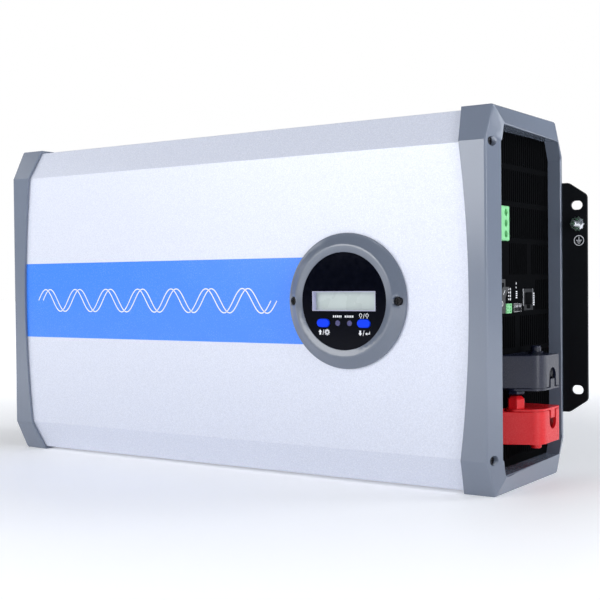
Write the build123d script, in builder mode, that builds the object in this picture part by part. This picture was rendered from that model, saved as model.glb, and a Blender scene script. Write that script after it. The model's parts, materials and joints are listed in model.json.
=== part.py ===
from build123d import *
import os
from math import cos, hypot, radians, sin

# Wall-mounted power inverter, in millimetres.
# +X runs along the long side, -Y is the front, +Z is up.
# The origin is the centre of the four wall slots, on the wall plane (Y = 0).

# ---------------------------------------------------------------- driving sizes
HEIGHT = 231.5
DEPTH = 125.0
SHEET = 2.0  # chassis steel
CAP_X = 198.6  # outer edge of an end cap
CAP_FRONT = -DEPTH
CAP_REAR = -SHEET
FRONT_CHAMFER = (11.0, 21.8)  # depth along Y, height along Z
REAR_CHAMFER = (12.8, 21.5)
COVER_STEP = 2.0  # the sheet body lies this far inside the end caps
COVER_SHEET = 1.5
SEAM_Y = -17.0  # where the front cover meets the chassis
CLEARANCE = 0.2

# end caps
COLLAR_X = 177.4  # inner end of the collar
COLLAR_ARC_X = 187.4  # collar edge at mid-height on the front
COLLAR_ARC_R = 740.0
SHOULDER_X = 190.0  # the end panel rests against this shoulder
RIM_FRONT_X = 204.0  # crest of the rim at the front strip
RIM_REAR_X = 199.0
OPEN_FRONT, OPEN_REAR = CAP_FRONT + 11.0, CAP_FRONT + 119.5
OPEN_TOP = 103.8
OPEN_FRONT_CHAMFER = (5.5, 10.6)
OPEN_REAR_CHAMFER = (5.7, 12.2)
CAP_SCREW_Y, CAP_SCREW_Z = CAP_FRONT + 4.6, 93.0
CAP_SCREW_SEAT = 197.9
CAP_SCREW_HEAD = (2.5, 1.9)  # radius and height
CAP_SCREW_R = 1.5
SCREW_POCKET_GAP = 0.4
PANEL_SHEET = 1.5
PANEL_X = SHOULDER_X - CLEARANCE / 2  # outer face of an end panel

# wall flange
FLANGE_X = 215.5
FLANGE_HALF = 76.6
FLANGE_TIP_HALF = 68.2
FLANGE_SHOULDER_X = 203.0
SLOT_X, SLOT_Z = 208.5, 61.5
SLOT_LENGTH, SLOT_WIDTH = 8.0, 6.0
EARTH_X, EARTH_Z = 209.0, 49.0
EARTH_R = 2.0
EARTH_STUD_LENGTH = 9.0
EARTH_WASHER = (4.3, 0.7)  # radius of the toothed washer, and its thickness
EARTH_NUT = (4.04, 3.2)  # radius over the corners, and thickness

# display
DISPLAY_X = 103.2
BEZEL_R = 42.7
RIDGE_R = 35.4
LENS_R = 30.6
LENS_Y = CAP_FRONT - 3.0
LENS_T = 2.0
WINDOW = (46.4, 12.4)
BUTTON_SPACING = 29.6
BUTTON_Z = -13.8
BUTTON = (9.3, 5.2)
BUTTON_TRAVEL = 0.8
BUTTON_FRONT_Y = LENS_Y - 0.8
BUTTON_BACK_Y = LENS_Y + LENS_T + 1.6
LCD_BACK_Y = CAP_FRONT + 4.6
LCD_T = 3.6
LED_X = (-4.2, 4.4)
LED_R = 1.75
BEZEL_SCREW_R = 38.1
BEZEL_SCREW_HEAD = (2.6, 1.9)
BEZEL_SCREW_SHANK = 1.3
BEZEL_TUBE_R = 33.0
BEZEL_SCREW_SEAT = CAP_FRONT + 0.1
DISPLAY_BOARD_Y = CAP_FRONT + 9.0
TACT_SWITCH = (6.0, 3.0)  # width and depth
TACT_STEM_R = 1.7
TACT_STEM_GAP = 0.3  # between the stem and a pressed button

# ports on the right-hand end panel: centre (y, z) and size (y, z)
AC_PORT = ((-80.0, 47.2), (12.8, 22.0))
AC_PITCH = 6.6
AC_HOLE_R = 2.25
AC_SPLIT_X = 182.0  # where the plug meets its header
AC_FACE_X = 191.5
SIGNAL_PORT = ((-73.0, -5.5), (8.8, 6.6))
SIGNAL_SPLIT_X = 184.0
SIGNAL_FACE_X = 190.5
USB_PORT = ((-59.8, -5.3), (12.0, 5.4))
USB_FACE_X = 190.6
USB_SHELL_T = 0.4
USB_TONGUE = (10.0, 1.6)  # length and thickness
RJ45_PORT = ((-41.1, -0.5), (14.8, 13.8))
RJ45_FACE_X = 190.2
RJ45_MOUTH = (11.8, 8.0)
RJ45_LATCH = (6.0, 3.2)  # way in for the plug's latch, below the mouth
RJ45_PITCH = 1.02
RJ45_DEPTH = 11.0
JACK_BACK_X = 176.0
PORT_BOARD = ((178.0, -60.0, -9.6), (14.0, 58.0))  # middle, and size along X and Y
HEADER_WALL = 1.0
AC_HEADER_DEPTH = 14.0
SIGNAL_HEADER_DEPTH = 9.0
PLUG_GAP = 0.4  # between a plug's shoulder and its header
SWITCH_PORT = ((-89.0, 2.2), (15.0, 21.0))
SWITCH_CUTOUT = (12.4, 18.4)
SWITCH_FLANGE = 1.8
SWITCH_WALL = 0.9
SWITCH_BACK_X = 174.0
ROCKER_AXIS_X = 188.4
ROCKER_FRONT = 5.7  # from the pivot to the two ends of the face
ROCKER_DISH = 1.2
ROCKER_HALF = 7.1
ROCKER_BACK = (2.4, 3.0)
ROCKER_GAP = 0.35  # each side, to the switch body
ROCKER_PIN_R = 1.2
ROCKER_REST = 12.0  # degrees, "off" side pressed

# direct-current terminals
DC_MID_Z = -61.2  # the two terminals mirror each other about this height
DC_LID_GAP = 11.2  # between the two lids
DC_TALL = 21.6
DC_WALL = 1.8
DC_LID_T = 1.4
DC_END_X = 213.7
DC_FAR_Y = -48.5
DC_NEAR = ((190.8, -88.4), (212.8, -77.9))
DC_CORNER_R = 10.0
DC_FAR_R = 2.0
PIVOT = (197.0, -79.0)
PIVOT_R = 5.8
PIN_R = 2.0
PIN_FIT = 0.05
STUD = (202.0, -59.0)
STUD_R = 3.0
STUD_LENGTH = 11.4
STUD_HEAD_T = 4.0
NUT_R = 5.77
NUT_T = 5.0
WASHER_R = 6.2
WASHER_T = 1.5
POST_R = 4.0  # round the lid's pin
BUSBAR_WIDTH = 15.0
BUSBAR_T = 3.0
BUSBAR_RISE = 6.0  # from the closed face of a terminal cover
CABLE_SLOT = 11.0
CABLE_Y = -60.6
DC_PLUG = (22.0, 12.0)
BUSBAR_LEG_X = 144.0
KNOB_R = 4.9  # across the flats, halved
KNOB_TALL = 8.0
KNOB_SHORT = 2.4
CABLE_FLOOR = 8.1  # from the closed face of a terminal cover up to the slot
TAB_WIDTH = 6.6
TAB_HEIGHT = 5.2
LID_GAP = 0.2
BOSS = ((4.7, 1.4), (3.4, 5.0))  # radius and height of its two steps

# vents
VENT_PITCH = 3.3
VENT_WIDTH = 1.7
VENT_HEIGHT = 20.0
SHORT_VENT = 9.6  # between and below the two terminals
VENT_ROW_PITCH = 22.9
VENT_MID_Z = 2.5

# fans
FAN = 80.0
FAN_DEPTH = 25.0
FAN_Y, FAN_Z = -63.0, 46.0
FAN_BORE = 38.0
FAN_SHAFT = 1.5
FAN_HOLE_SPACING = 71.5
FAN_HOLE_R = 1.7
FAN_CORNER_R = 4.0
FAN_SPIDER = (16.0, 4.0)  # radius of its disc, and its thickness
FAN_SPOKE = 4.0
FAN_POST = (6.0, 6.0)  # radius, and how far it stays behind the front
FAN_END_GAP = 2.0  # from the frame's front to the hub
FAN_HUB = (15.0, 13.5)  # outer and inner radius
BLADES = 7
BLADE = (19.0, 1.6, 22.0)
BLADE_MID = (10.5, 25.0)  # behind the frame's front, and from the axis
BLADE_PITCH = 40.0  # degrees
FAN_SCREW = (3.4, 2.0, 1.6, 9.0)  # head radius and height, shank radius and length
GUARD_RINGS = 5
GUARD_PITCH = 5.6
GUARD_GAP = 3.6
GUARD_BAR = 3.0

# board
BOARD_Y = -12.0
BOARD_T = 1.6
BOARD_X = (-135.0, 160.0)
BOARD_HALF_Z = 84.0
BOARD_FRONT = BOARD_Y - BOARD_T
HEAT_SINK_X = (-110.0, 40.0)
HEAT_SINK_Z = 42.0
HEAT_SINK_RISE = 24.0  # middle of the plate above the board
HEAT_SINK_PLATE = (46.0, 4.0)
FIN = (1.6, 18.0)
FINS = 9
FIN_PITCH = 5.4
TRANSISTOR = (10.0, 15.0, 4.4)
TRANSISTOR_RISE = 16.0
TRANSISTOR_PITCH = 18.0
TRANSISTORS = 8  # along each heat sink
LEAD = (0.8, 8.4, 0.6)
LEAD_PITCH = 2.54
TRANSFORMER_X = (20.0, 62.0, 104.0)
TRANSFORMER_RISE = 20.0
CORE = (34.0, 36.0, 42.0)
CORE_WINDOW = (23.0, 40.0, 30.0)
CORE_LEG = (10.0, 36.0, 42.0)
WINDING = (22.6, 39.0, 29.6)
INPUT_CAN = (8.0, 28.0)  # radius and height
INPUT_CANS = [(x, z) for x in (66.0, 84.0, 102.0, 120.0) for z in (-42.0, -60.0)]
BUS_CAN = (15.0, 45.0)
BUS_CANS = [(-118.0, 0.0), (-86.0, 0.0)]
CHOKE = (17.0, 9.5)  # radius of the ring, and of its section
CHOKE_X = -40.0
STANDOFF_R = 3.4
STANDOFF_SCREW_R = 1.5
STANDOFF_HEAD = (2.9, 1.4)
BOARD_SCREW_HEAD = (2.8, 2.0)
BOARD_SCREW_LENGTH = 5.0
CHASSIS_SCREW_LENGTH = 6.0
STANDOFFS = [(x, z) for x in (-125.0, 5.0, 134.0) for z in (-78.0, 78.0)]


# ---------------------------------------------------------------- helpers
def front_plane(y):
    """Sketch plane facing the front: local x is X, local y is Z, extrusion goes to -Y."""
    return Plane.XZ.offset(-y)


def side_plane(x):
    """Sketch plane facing +X: local x is Y, local y is Z."""
    return Plane.YZ.offset(x)


def octagon_points(front, rear, top, front_chamfer, rear_chamfer, inset=0.0):
    """Eight-sided end view, from the lower front round to the lower rear, moved in by inset."""
    front_run = hypot(*front_chamfer)
    rear_run = hypot(*rear_chamfer)
    upper = [
        (
            front + inset,
            top - front_chamfer[1] - inset * (front_run - front_chamfer[1]) / front_chamfer[0],
        ),
        (
            front + front_chamfer[0] + inset * (front_run - front_chamfer[0]) / front_chamfer[1],
            top - inset,
        ),
        (
            rear - rear_chamfer[0] - inset * (rear_run - rear_chamfer[0]) / rear_chamfer[1],
            top - inset,
        ),
        (
            rear - inset,
            top - rear_chamfer[1] - inset * (rear_run - rear_chamfer[1]) / rear_chamfer[0],
        ),
    ]
    return upper + [(y, -z) for y, z in reversed(upper)]


def body_points(inset, rear=CAP_REAR):
    return octagon_points(CAP_FRONT, rear, HEIGHT / 2, FRONT_CHAMFER, REAR_CHAMFER, inset)


def opening_points():
    return octagon_points(OPEN_FRONT, OPEN_REAR, OPEN_TOP, OPEN_FRONT_CHAMFER, OPEN_REAR_CHAMFER)


def polygon(plane, points):
    with BuildSketch(plane) as face:
        with BuildLine():
            Polyline(*points, close=True)
        make_face()
    return face.sketch


def cross_screw(head_r, head_h, shank_r, shank_l):
    """Pan-head screw with a cross recess: the head stands on the XY plane, the shank runs to -Z."""
    with BuildPart() as screw:
        Cylinder(head_r, head_h, align=(Align.CENTER, Align.CENTER, Align.MIN))
        fillet(screw.edges().group_by(Axis.Z)[-1], min(0.35 * head_h, 0.3 * head_r))
        Cylinder(shank_r, shank_l, align=(Align.CENTER, Align.CENTER, Align.MAX))
        with Locations((0, 0, head_h)):
            Box(1.25 * head_r, 0.28 * head_r, head_h, mode=Mode.SUBTRACT)
            Box(0.28 * head_r, 1.25 * head_r, head_h, mode=Mode.SUBTRACT)
    return screw.part


def countersunk_screw(head_r, head_h, shank_r, shank_l):
    """Flat-head screw: its face lies on the XY plane and the screw runs to -Z."""
    with BuildPart() as screw:
        with Locations((0, 0, -head_h / 2)):
            Cone(shank_r, head_r, head_h)
        Cylinder(shank_r, shank_l, align=(Align.CENTER, Align.CENTER, Align.MAX))
        Box(1.1 * head_r, 0.25 * head_r, head_h, mode=Mode.SUBTRACT)
        Box(0.25 * head_r, 1.1 * head_r, head_h, mode=Mode.SUBTRACT)
    return screw.part


def facing(x, y, z, direction):
    """Plane at a point whose normal is the given direction."""
    return Plane(origin=(x, y, z), z_dir=direction)


def save(part, name):
    part.label = name
    export_step(part, f"parts/{name}.step")


os.makedirs("parts", exist_ok=True)

# ---------------------------------------------------------------- casing
BODY_LENGTH = 2 * (COLLAR_X - CLEARANCE)
COVER_LENGTH = 2 * (PANEL_X - PANEL_SHEET - CLEARANCE)

# One folded steel sheet: back plate, rear chamfers and short lips, with the wall tabs.
with BuildPart() as chassis:
    left_end = side_plane(-BODY_LENGTH / 2)
    extrude(polygon(left_end, body_points(COVER_STEP, COVER_STEP)), amount=BODY_LENGTH)
    hollow = polygon(left_end, body_points(COVER_STEP + SHEET, COVER_STEP))
    extrude(hollow, amount=BODY_LENGTH, mode=Mode.SUBTRACT)
    with BuildSketch(left_end):
        with Locations((SEAM_Y - DEPTH, 0)):
            Rectangle(2 * DEPTH, HEIGHT)
    extrude(amount=BODY_LENGTH, mode=Mode.SUBTRACT)
    quarter = [
        (FLANGE_X, FLANGE_TIP_HALF),
        (FLANGE_SHOULDER_X, FLANGE_HALF),
        (-FLANGE_SHOULDER_X, FLANGE_HALF),
        (-FLANGE_X, FLANGE_TIP_HALF),
    ]
    with BuildSketch(front_plane(0)) as tabs:
        with BuildLine():
            Polyline(*quarter, *[(x, -z) for x, z in reversed(quarter)], close=True)
        make_face()
        fillet(tabs.vertices(), 4.0)
    extrude(amount=SHEET)
    with BuildSketch(front_plane(0)):
        with GridLocations(2 * SLOT_X, 2 * SLOT_Z, 2, 2):
            SlotOverall(SLOT_LENGTH, SLOT_WIDTH)
        with Locations((EARTH_X, EARTH_Z)):
            Circle(EARTH_R + 0.1)
    extrude(amount=SHEET, mode=Mode.SUBTRACT)
    for x, z in STANDOFFS:
        with Locations(facing(x, 0, z, (0, 1, 0))):
            CounterSinkHole(STANDOFF_SCREW_R + 0.1, STANDOFF_HEAD[0] + 0.1, SHEET, 90)
save(chassis.part, "chassis")

with BuildPart() as front_cover:
    left_end = side_plane(-COVER_LENGTH / 2)
    extrude(polygon(left_end, body_points(COVER_STEP)), amount=COVER_LENGTH)
    hollow = polygon(left_end, body_points(COVER_STEP + COVER_SHEET))
    extrude(hollow, amount=COVER_LENGTH, mode=Mode.SUBTRACT)
    with BuildSketch(left_end):
        with Locations((SEAM_Y - CLEARANCE + DEPTH / 2, 0)):
            Rectangle(DEPTH, HEIGHT)
    extrude(amount=COVER_LENGTH, mode=Mode.SUBTRACT)
    with BuildSketch(front_plane(0)):
        with Locations((DISPLAY_X, 0)):
            Circle(BEZEL_TUBE_R + CLEARANCE)
        with Locations((DISPLAY_X - BEZEL_SCREW_R, 0), (DISPLAY_X + BEZEL_SCREW_R, 0)):
            Circle(BEZEL_SCREW_SHANK + 0.1)
    extrude(amount=DEPTH, mode=Mode.SUBTRACT)
save(front_cover.part, "front_cover")


def rim_crest_x(y):
    """The crest of the rim leans back from the front strip to the rear wall."""
    return RIM_FRONT_X + (RIM_REAR_X - RIM_FRONT_X) * (y - OPEN_FRONT) / (OPEN_REAR - OPEN_FRONT)


def rim_crest():
    points = [(rim_crest_x(y), y, z) for y, z in opening_points()]
    return Face(Wire.make_polygon(points, close=True))


# The right-hand cap is an eight-sided frame; its rim rises from the outer edge to the opening.
with BuildPart() as end_cap_right:
    extrude(polygon(side_plane(COLLAR_X), body_points(0)), amount=CAP_X - COLLAR_X)
    loft([polygon(side_plane(CAP_X), body_points(0)).face(), rim_crest()], ruled=True)
    extrude(polygon(side_plane(CAP_X - 20), opening_points()), amount=50, mode=Mode.SUBTRACT)
    cavity = polygon(side_plane(COLLAR_X), body_points(COVER_STEP - CLEARANCE))
    extrude(cavity, amount=SHOULDER_X - COLLAR_X, mode=Mode.SUBTRACT)
    with BuildSketch(front_plane(SEAM_Y)):
        with Locations((COLLAR_ARC_X - COLLAR_ARC_R, 0)):
            Circle(COLLAR_ARC_R)
    extrude(amount=DEPTH, mode=Mode.SUBTRACT)
    for z in (-CAP_SCREW_Z, CAP_SCREW_Z):
        with Locations(facing(CAP_SCREW_SEAT, CAP_SCREW_Y, z, (1, 0, 0))):
            pocket_r = CAP_SCREW_HEAD[0] + SCREW_POCKET_GAP
            Cylinder(
                pocket_r, 12, align=(Align.CENTER, Align.CENTER, Align.MIN), mode=Mode.SUBTRACT
            )
            Hole(CAP_SCREW_R + 0.1, 20)
save(end_cap_right.part, "end_cap_right")

with BuildPart() as end_cap_left:
    mirror(end_cap_right.part, about=Plane.YZ)
save(end_cap_left.part, "end_cap_left")

with BuildPart() as end_cap_screws:
    for side in (-1, 1):
        for z in (-CAP_SCREW_Z, CAP_SCREW_Z):
            with Locations(facing(side * CAP_SCREW_SEAT, CAP_SCREW_Y, z, (side, 0, 0))):
                shank = CAP_SCREW_SEAT - PANEL_X + PANEL_SHEET
                add(cross_screw(*CAP_SCREW_HEAD, CAP_SCREW_R, shank))
save(end_cap_screws.part, "end_cap_screws")


# ---------------------------------------------------------------- end panels
def inside(y, z, boxes):
    return any(abs(y - b[0][0]) < b[1][0] / 2 and abs(z - b[0][1]) < b[1][1] / 2 for b in boxes)


def panel_blank(x):
    """Sheet that fills an end cap, cut for the cap screws."""
    with BuildPart() as blank:
        extrude(polygon(side_plane(x), body_points(COVER_STEP + CLEARANCE)), amount=PANEL_SHEET)
        with BuildSketch(side_plane(x)):
            with Locations((CAP_SCREW_Y, -CAP_SCREW_Z), (CAP_SCREW_Y, CAP_SCREW_Z)):
                Circle(CAP_SCREW_R)
        extrude(amount=PANEL_SHEET, mode=Mode.SUBTRACT)
    return blank.part


dc_centres = [DC_MID_Z - side * (DC_LID_GAP + DC_TALL) / 2 for side in (1, -1)]
behind_plugs = [((STUD[1], z), (DC_PLUG[0] + 4.5, DC_PLUG[1] + VENT_HEIGHT + 3)) for z in dc_centres]
no_vents = [
    (AC_PORT[0], (AC_PORT[1][0] + 6, AC_PORT[1][1] + 24)),
    ((-72.0, VENT_MID_Z), (88.0, 24.0)),
    ((-38.0, VENT_MID_Z + VENT_ROW_PITCH), (6.0, 24.0)),
    ((-60.0, VENT_MID_Z - VENT_ROW_PITCH), (7.0, 24.0)),
]
vents = []
short_vents = []
for column in range(32):
    y = OPEN_FRONT + 4.0 + column * VENT_PITCH
    if y > OPEN_REAR - 1.5:
        continue
    for row in range(-4, 5):
        z = VENT_MID_Z + row * VENT_ROW_PITCH
        if not inside(y, z, no_vents + behind_plugs):
            vents.append((y, z))
    if abs(y - STUD[1]) < behind_plugs[0][1][0] / 2:
        short_vents.append((y, DC_MID_Z))
        short_vents.append((y, dc_centres[0] - DC_TALL / 2 - SHORT_VENT / 2))

with BuildPart() as end_panel_right:
    add(panel_blank(PANEL_X - PANEL_SHEET))
    with BuildSketch(side_plane(PANEL_X - PANEL_SHEET)):
        with Locations(*vents):
            SlotOverall(VENT_HEIGHT, VENT_WIDTH, rotation=90)
        with Locations(*short_vents):
            SlotOverall(SHORT_VENT, VENT_WIDTH, rotation=90)
        for centre, size in (AC_PORT, SIGNAL_PORT, USB_PORT, RJ45_PORT):
            with Locations(centre):
                Rectangle(size[0] + 0.4, size[1] + 0.4)
        with Locations(SWITCH_PORT[0]):
            Rectangle(SWITCH_CUTOUT[0] + 0.2, SWITCH_CUTOUT[1] + 0.2)
        for z in dc_centres:
            with Locations((STUD[1], z)):
                Rectangle(DC_PLUG[0] + 0.4, DC_PLUG[1] + 0.4)
    extrude(amount=PANEL_SHEET, mode=Mode.SUBTRACT)
save(end_panel_right.part, "end_panel_right")

with BuildPart() as end_panel_left:
    add(panel_blank(-PANEL_X))
    with BuildSketch(side_plane(-PANEL_X)):
        with Locations((FAN_Y, -FAN_Z), (FAN_Y, FAN_Z)):
            for ring in range(GUARD_RINGS):
                ring_r = FAN_BORE - 1.0 - GUARD_PITCH * ring
                Circle(ring_r)
                Circle(ring_r - GUARD_GAP, mode=Mode.SUBTRACT)
            for turn in (45, 135):
                Rectangle(2 * FAN_BORE, GUARD_BAR, rotation=turn, mode=Mode.SUBTRACT)
            with GridLocations(FAN_HOLE_SPACING, FAN_HOLE_SPACING, 2, 2):
                Circle(FAN_HOLE_R + 0.3)
    extrude(amount=PANEL_SHEET, mode=Mode.SUBTRACT)
save(end_panel_left.part, "end_panel_left")

# ---------------------------------------------------------------- fans
for index, fan_z in enumerate((-FAN_Z, FAN_Z)):
    place = ("lower", "upper")[index]
    fan_x = -PANEL_X + PANEL_SHEET + CLEARANCE
    with BuildPart(side_plane(fan_x)) as fan_frame:
        with BuildSketch(side_plane(fan_x)) as outer:
            with Locations((FAN_Y, fan_z)):
                Rectangle(FAN, FAN)
                fillet(outer.vertices(), FAN_CORNER_R)
        extrude(amount=FAN_DEPTH)
        with BuildSketch(side_plane(fan_x)):
            with Locations((FAN_Y, fan_z)):
                Circle(FAN_BORE)
                with GridLocations(FAN_HOLE_SPACING, FAN_HOLE_SPACING, 2, 2):
                    Circle(FAN_HOLE_R)
        extrude(amount=FAN_DEPTH, mode=Mode.SUBTRACT)
        spider_r, spider_t = FAN_SPIDER
        with BuildSketch(side_plane(fan_x + FAN_DEPTH - spider_t)):
            with Locations((FAN_Y, fan_z)):
                Circle(spider_r)
                for turn in range(0, 180, 60):
                    Rectangle(2 * FAN_BORE + 1, FAN_SPOKE, rotation=turn)
        extrude(amount=spider_t)
        post_r, post_start = FAN_POST
        with BuildSketch(side_plane(fan_x + post_start)):
            with Locations((FAN_Y, fan_z)):
                Circle(post_r)
        extrude(amount=FAN_DEPTH - spider_t / 2 - post_start)
        with BuildSketch(side_plane(fan_x)):
            with Locations((FAN_Y, fan_z)):
                Circle(FAN_SHAFT + PIN_FIT)
        extrude(amount=FAN_DEPTH, mode=Mode.SUBTRACT)
    save(fan_frame.part, f"fan_frame_{place}")

    with BuildPart() as impeller:
        hub_x = fan_x + FAN_END_GAP
        with BuildSketch(side_plane(hub_x)):
            with Locations((FAN_Y, fan_z)):
                Circle(FAN_HUB[0])
        extrude(amount=FAN_DEPTH - 2 * FAN_SPIDER[1])
        with BuildSketch(side_plane(hub_x + FAN_END_GAP)):
            with Locations((FAN_Y, fan_z)):
                Circle(FAN_HUB[1])
        extrude(amount=FAN_DEPTH, mode=Mode.SUBTRACT)
        with BuildSketch(side_plane(hub_x)):
            with Locations((FAN_Y, fan_z)):
                Circle(FAN_SHAFT)
        extrude(amount=FAN_DEPTH - 2 * FAN_END_GAP)
        for blade in range(BLADES):
            turn = radians(360 * blade / BLADES)
            outward = (0, cos(turn), sin(turn))
            middle = (
                fan_x + BLADE_MID[0],
                FAN_Y + BLADE_MID[1] * outward[1],
                fan_z + BLADE_MID[1] * outward[2],
            )
            with Locations(Plane(origin=middle, x_dir=(1, 0, 0), z_dir=outward)):
                Box(*BLADE, rotation=(0, 0, BLADE_PITCH))
    save(impeller.part, f"fan_impeller_{place}")

with BuildPart() as fan_screws:
    for fan_z in (-FAN_Z, FAN_Z):
        for dy in (-FAN_HOLE_SPACING / 2, FAN_HOLE_SPACING / 2):
            for dz in (-FAN_HOLE_SPACING / 2, FAN_HOLE_SPACING / 2):
                with Locations(facing(-PANEL_X, FAN_Y + dy, fan_z + dz, (-1, 0, 0))):
                    add(cross_screw(*FAN_SCREW))
save(fan_screws.part, "fan_screws")

# ---------------------------------------------------------------- display
CENTRE_PLANE = Plane(origin=(DISPLAY_X, 0, 0), x_dir=(1, 0, 0), z_dir=(0, 0, 1))
PANEL_FACE = CAP_FRONT + COVER_STEP

with BuildPart() as display_bezel:
    with BuildSketch(CENTRE_PLANE):
        with BuildLine():
            Polyline(
                (BEZEL_R, PANEL_FACE),
                (BEZEL_R, PANEL_FACE - 1.7),
                (BEZEL_R - 0.4, PANEL_FACE - 2.1),
                (BEZEL_R - 1.5, PANEL_FACE - 2.3),
                (RIDGE_R + 0.9, CAP_FRONT - 3.4),
                (RIDGE_R, CAP_FRONT - 3.9),
                (RIDGE_R - 1.1, CAP_FRONT - 4.0),
                (LENS_R + 0.3, LENS_Y - 0.1),
                (LENS_R + 0.1, LENS_Y),
                (LENS_R + 0.1, LENS_Y + LENS_T),
                (LENS_R - 1.2, LENS_Y + LENS_T),
                (LENS_R - 1.2, LENS_Y + LENS_T + 1.5),
                (LENS_R + 0.6, LENS_Y + LENS_T + 1.5),
                (LENS_R + 0.6, CAP_FRONT + 14.0),
                (BEZEL_TUBE_R, CAP_FRONT + 14.0),
                (BEZEL_TUBE_R, PANEL_FACE),
                close=True,
            )
        make_face()
    revolve(axis=Axis((DISPLAY_X, 0, 0), (0, 1, 0)))
    for side in (-1, 1):
        with Locations(facing(DISPLAY_X + side * BEZEL_SCREW_R, BEZEL_SCREW_SEAT, 0, (0, -1, 0))):
            pocket_r = BEZEL_SCREW_HEAD[0] + SCREW_POCKET_GAP
            Cylinder(pocket_r, 8, align=(Align.CENTER, Align.CENTER, Align.MIN), mode=Mode.SUBTRACT)
            Hole(BEZEL_SCREW_SHANK + 0.1, 10)
save(display_bezel.part, "display_bezel")

with BuildPart() as bezel_screws:
    for side in (-1, 1):
        with Locations(facing(DISPLAY_X + side * BEZEL_SCREW_R, BEZEL_SCREW_SEAT, 0, (0, -1, 0))):
            add(cross_screw(*BEZEL_SCREW_HEAD, BEZEL_SCREW_SHANK, 8.0))
save(bezel_screws.part, "bezel_screws")

button_x = [DISPLAY_X + side * BUTTON_SPACING / 2 for side in (-1, 1)]
led_x = [DISPLAY_X + offset for offset in LED_X]

with BuildPart() as display_lens:
    with BuildSketch(front_plane(LENS_Y + LENS_T)):
        with Locations((DISPLAY_X, 0)):
            Circle(LENS_R)
            Rectangle(WINDOW[0], WINDOW[1], mode=Mode.SUBTRACT)
        with Locations(*[(x, BUTTON_Z) for x in button_x]):
            SlotOverall(BUTTON[0] + 0.7, BUTTON[1] + 0.7, mode=Mode.SUBTRACT)
        with Locations(*[(x, BUTTON_Z) for x in led_x]):
            Circle(LED_R + 0.05, mode=Mode.SUBTRACT)
    extrude(amount=LENS_T)
save(display_lens.part, "display_lens")

with BuildPart() as lcd_module:
    with BuildSketch(front_plane(LCD_BACK_Y)):
        with Locations((DISPLAY_X, 0)):
            Rectangle(WINDOW[0] + 4, WINDOW[1] + 4)
    extrude(amount=LCD_T)
save(lcd_module.part, "lcd_module")

with BuildPart() as display_board:
    with BuildSketch(front_plane(DISPLAY_BOARD_Y + BOARD_T)):
        with Locations((DISPLAY_X, 0)):
            Circle(LENS_R)
    extrude(amount=BOARD_T)
    with BuildSketch(front_plane(DISPLAY_BOARD_Y)):
        with Locations((DISPLAY_X, 0)):
            with GridLocations(WINDOW[0], 8, 2, 2):
                Circle(1.5)
    extrude(amount=DISPLAY_BOARD_Y - LCD_BACK_Y)
save(display_board.part, "display_board")

for index, x in enumerate(button_x):
    with BuildPart() as button:
        with BuildSketch(front_plane(BUTTON_BACK_Y)):
            with Locations((x, BUTTON_Z)):
                SlotOverall(BUTTON[0] + 2.0, BUTTON[1] + 2.0)
        extrude(amount=1.3)
        with BuildSketch(front_plane(BUTTON_BACK_Y)):
            with Locations((x, BUTTON_Z)):
                SlotOverall(*BUTTON)
        extrude(amount=BUTTON_BACK_Y - BUTTON_FRONT_Y)
        fillet(button.faces().sort_by(Axis.Y)[0].edges(), 0.5)
    save(button.part, ("button_left", "button_right")[index])

with BuildPart() as tact_switches:
    wide, deep = TACT_SWITCH
    stem_end = BUTTON_BACK_Y + BUTTON_TRAVEL + TACT_STEM_GAP
    for x in button_x:
        with Locations((x, DISPLAY_BOARD_Y - deep / 2, BUTTON_Z)):
            Box(wide, deep, wide)
        with Locations(facing(x, DISPLAY_BOARD_Y - deep, BUTTON_Z, (0, -1, 0))):
            stem_length = DISPLAY_BOARD_Y - deep - stem_end
            Cylinder(TACT_STEM_R, stem_length, align=(Align.CENTER, Align.CENTER, Align.MIN))
save(tact_switches.part, "tact_switches")

with BuildPart() as indicator_leds:
    for x in led_x:
        with Locations(facing(x, DISPLAY_BOARD_Y, BUTTON_Z, (0, -1, 0))):
            Cylinder(
                LED_R, DISPLAY_BOARD_Y - LENS_Y - 0.1, align=(Align.CENTER, Align.CENTER, Align.MIN)
            )
save(indicator_leds.part, "indicator_leds")


# ---------------------------------------------------------------- ports
def port_block(port, x_back, x_front, shrink=0.0):
    """Rectangular block with a port's outline, from one X to another."""
    with BuildPart() as block:
        with BuildSketch(side_plane(x_back)):
            with Locations(port[0]):
                Rectangle(port[1][0] - shrink, port[1][1] - shrink)
        extrude(amount=x_front - x_back)
    return block.part


(ac_y, ac_z), (ac_wide, ac_tall) = AC_PORT
ac_poles = [ac_z + AC_PITCH * step for step in (-1, 0, 1)]
with BuildPart() as ac_output_header:
    add(port_block(AC_PORT, AC_SPLIT_X - AC_HEADER_DEPTH, AC_SPLIT_X))
    with Locations((AC_SPLIT_X, ac_y, ac_z)):
        Box(16, ac_wide - 2 * HEADER_WALL, ac_tall - 2 * HEADER_WALL, mode=Mode.SUBTRACT)
    for z in ac_poles:
        with Locations((AC_SPLIT_X - 8, ac_y, z)):
            Box(12, 1.2, 1.2)
save(ac_output_header.part, "ac_output_header")

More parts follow.
